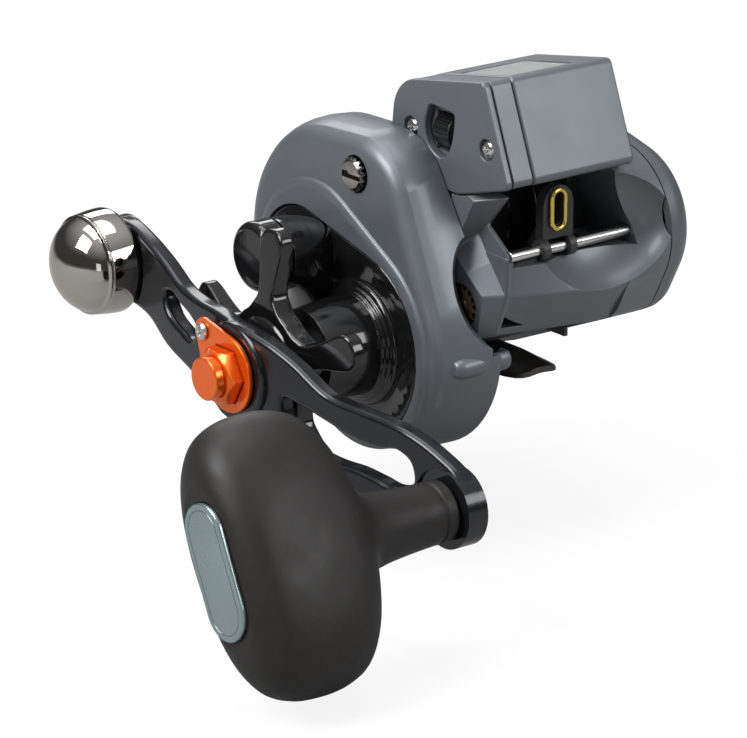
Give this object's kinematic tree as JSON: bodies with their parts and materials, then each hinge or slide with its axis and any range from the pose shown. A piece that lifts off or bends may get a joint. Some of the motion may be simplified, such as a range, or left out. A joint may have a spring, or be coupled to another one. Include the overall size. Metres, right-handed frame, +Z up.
{
  "type": "line counter fishing reel",
  "caption": "Low profile bait casting reel with a line counter, level wind, star drag and a swept handle with a foam knob.",
  "frame": {"origin": "middle of the foot's seat, straight under the spool axis", "axes": "+Z up from the rod seat, -Y the way the line leaves, +X to the palm side, so the handle is on -X"},
  "size_m": [0.1335, 0.1316, 0.0912],
  "materials": {
    "stainless_steel": "satin",
    "brass": "satin",
    "grey_paint": "satin",
    "black_frame": "satin",
    "gloss_black": "gloss",
    "anodised_black": "satin",
    "orange_anodised": "gloss",
    "dark_chrome": "mirror",
    "eva_foam": "matt foam",
    "blue_grey_metal": "satin",
    "gold_ceramic": "gloss",
    "dark_foot": "satin",
    "drag_fibre": "matt",
    "clear_lens": "clear",
    "digit_wheel": "matt",
    "spool_aluminium": "satin"
  },
  "bodies": {
    "frame": {"main_frame": "black_frame", "reel_foot": "dark_foot", "foot_screw_front": "stainless_steel", "foot_screw_rear": "stainless_steel", "handle_side_cover": "grey_paint", "bezel_insert": "gloss_black", "palm_side_cover": "grey_paint", "front_hood": "grey_paint", "counter_base": "grey_paint", "counter_cover": "grey_paint", "counter_end_cover": "grey_paint", "counter_lens": "clear_lens", "counter_screw_front": "stainless_steel", "counter_screw_rear": "stainless_steel", "counter_axle": "stainless_steel", "guide_rod": "stainless_steel", "worm_bushing_handle": "brass", "worm_bushing_palm": "brass", "spool_bearing_handle": "stainless_steel", "spool_bearing_palm": "stainless_steel", "pinion_bearing": "stainless_steel", "main_bearing": "stainless_steel", "one_way_bearing": "stainless_steel"},
    "handle": {"main_shaft": "stainless_steel", "shaft_cog": "brass", "ratchet_wheel": "stainless_steel", "drive_gear": "brass", "drag_washer": "drag_fibre", "bearing_sleeve": "stainless_steel", "spring_washer": "stainless_steel", "handle_arm": "anodised_black", "handle_nut": "orange_anodised", "nut_retainer": "orange_anodised", "retainer_screw": "stainless_steel", "counterweight": "dark_chrome", "knob_spindle": "stainless_steel"},
    "star": {"star_drag": "gloss_black"},
    "knob": {"knob_core": "gloss_black", "eva_grip": "eva_foam", "knob_inlay": "blue_grey_metal"},
    "cast_control": {"tension_knob": "gloss_black"},
    "spool": {"spool": "spool_aluminium", "spool_shaft": "stainless_steel", "pinion": "brass", "click_gear": "brass"},
    "worm": {"worm_shaft": "stainless_steel", "worm_gear": "brass"},
    "idler": {"idler_gear": "drag_fibre"},
    "line_guide": {"line_carriage": "black_frame", "eyelet_ring": "gold_ceramic", "worm_pawl": "brass"},
    "units": {"units_wheel": "digit_wheel"},
    "tens": {"tens_wheel": "digit_wheel"},
    "hundreds": {"hundreds_wheel": "digit_wheel"},
    "reset": {"reset_wheel": "black_frame"},
    "clutch_bar": {"thumb_bar": "black_frame"},
    "yoke": {"clutch_yoke": "stainless_steel"},
    "clicker": {"clicker_button": "gloss_black"},
    "thumbscrew": {"side_plate_thumbscrew": "gloss_black"}
  },
  "joints": [
    {"name": "handle_turn", "type": "hinge", "parent": "frame", "child": "handle", "pos_m": [-0.0124, -0.01181, 0.00628], "axis": [1, 0, 0], "continuous": true},
    {"name": "star_turn", "type": "hinge", "parent": "handle", "child": "star", "pos_m": [-0.052, -0.01181, 0.00628], "axis": [1, 0, 0], "range_deg": [-180, 180]},
    {"name": "knob_spin", "type": "hinge", "parent": "handle", "child": "knob", "pos_m": [-0.052, -0.06789, -0.00595], "axis": [1, 0, 0], "continuous": true},
    {"name": "cast_control_turn", "type": "hinge", "parent": "frame", "child": "cast_control", "pos_m": [-0.0396, 0, 0.0234], "axis": [1, 0, 0], "range_deg": [-180, 180]},
    {"name": "spool_turn", "type": "hinge", "parent": "frame", "child": "spool", "pos_m": [0, 0, 0.0234], "axis": [1, 0, 0], "continuous": true},
    {"name": "worm_turn", "type": "hinge", "parent": "frame", "child": "worm", "pos_m": [0, -0.02845, 0.01546], "axis": [1, 0, 0], "continuous": true},
    {"name": "idler_turn", "type": "hinge", "parent": "frame", "child": "idler", "pos_m": [-0.0146, -0.02122, 0.01147], "axis": [1, 0, 0], "continuous": true},
    {"name": "units_turn", "type": "hinge", "parent": "frame", "child": "units", "pos_m": [0.005, -0.025, 0.0502], "axis": [1, 0, 0], "continuous": true},
    {"name": "tens_turn", "type": "hinge", "parent": "frame", "child": "tens", "pos_m": [0, -0.025, 0.0502], "axis": [1, 0, 0], "continuous": true},
    {"name": "hundreds_turn", "type": "hinge", "parent": "frame", "child": "hundreds", "pos_m": [-0.005, -0.025, 0.0502], "axis": [1, 0, 0], "continuous": true},
    {"name": "reset_turn", "type": "hinge", "parent": "frame", "child": "reset", "pos_m": [-0.0121, -0.0214, 0.048], "axis": [0, 1, 0], "continuous": true},
    {"name": "line_guide_slide", "type": "slide", "parent": "frame", "child": "line_guide", "axis": [1, 0, 0], "range_m": [-0.0066, 0.0084]},
    {"name": "clutch_press", "type": "slide", "parent": "frame", "child": "clutch_bar", "axis": [0, 0, -1], "range_m": [0, 0.005]},
    {"name": "yoke_slide", "type": "slide", "parent": "frame", "child": "yoke", "axis": [-1, 0, 0], "range_m": [0, 0.001]},
    {"name": "clicker_slide", "type": "slide", "parent": "frame", "child": "clicker", "axis": [0, 1, 0], "range_m": [0, 0.005]},
    {"name": "thumbscrew_turn", "type": "hinge", "parent": "frame", "child": "thumbscrew", "pos_m": [-0.0243, -0.0106, 0.0395], "axis": [1, 0, 0], "range_deg": [0, 360]}
  ],
  "couplings": [
    {"joint": "spool_turn", "follows": "handle_turn", "ratio": -5.4},
    {"joint": "idler_turn", "follows": "handle_turn", "ratio": -1.2632},
    {"joint": "worm_turn", "follows": "handle_turn", "ratio": 1.7143},
    {"joint": "units_turn", "follows": "handle_turn", "ratio": 0.183},
    {"joint": "tens_turn", "follows": "handle_turn", "ratio": 0.0183},
    {"joint": "hundreds_turn", "follows": "handle_turn", "ratio": 0.00183},
    {"joint": "yoke_slide", "follows": "clutch_press", "ratio": 0.2}
  ]
}
